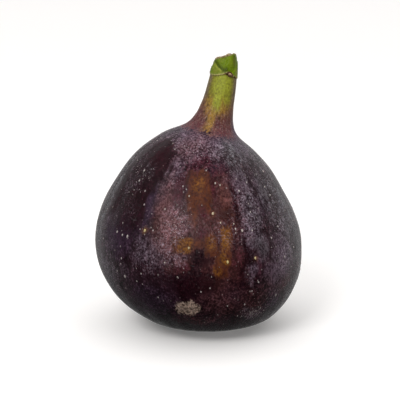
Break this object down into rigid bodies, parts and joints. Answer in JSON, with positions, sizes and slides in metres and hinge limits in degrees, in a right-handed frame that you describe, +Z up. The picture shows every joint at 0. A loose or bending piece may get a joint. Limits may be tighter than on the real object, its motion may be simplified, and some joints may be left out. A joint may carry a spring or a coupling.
{
  "type": "fresh fig",
  "caption": "Ripe dark purple fig with its cut green stalk, standing on the flat of its base; the eye underneath is closed by small scales.",
  "frame": {"origin": "bottom centre of the fig's bounding box, on the plane that it rests on", "axes": "+Z up from the flat base to the stalk, -Y to the front that the picture shows, +X to the viewer's right, where the stalk leans"},
  "size_m": [0.0562, 0.056, 0.0745],
  "materials": {
    "fig_skin": "thin dark purple skin with a waxy bloom, satin",
    "stalk_cut": "dry pale pith of the cut stalk, matt",
    "bract_scar": "dried edges of the old bracts, matt",
    "eye_scales": "dry papery scales, matt"
  },
  "bodies": {
    "root": {"fig": "fig_skin"}
  },
  "joints": []
}
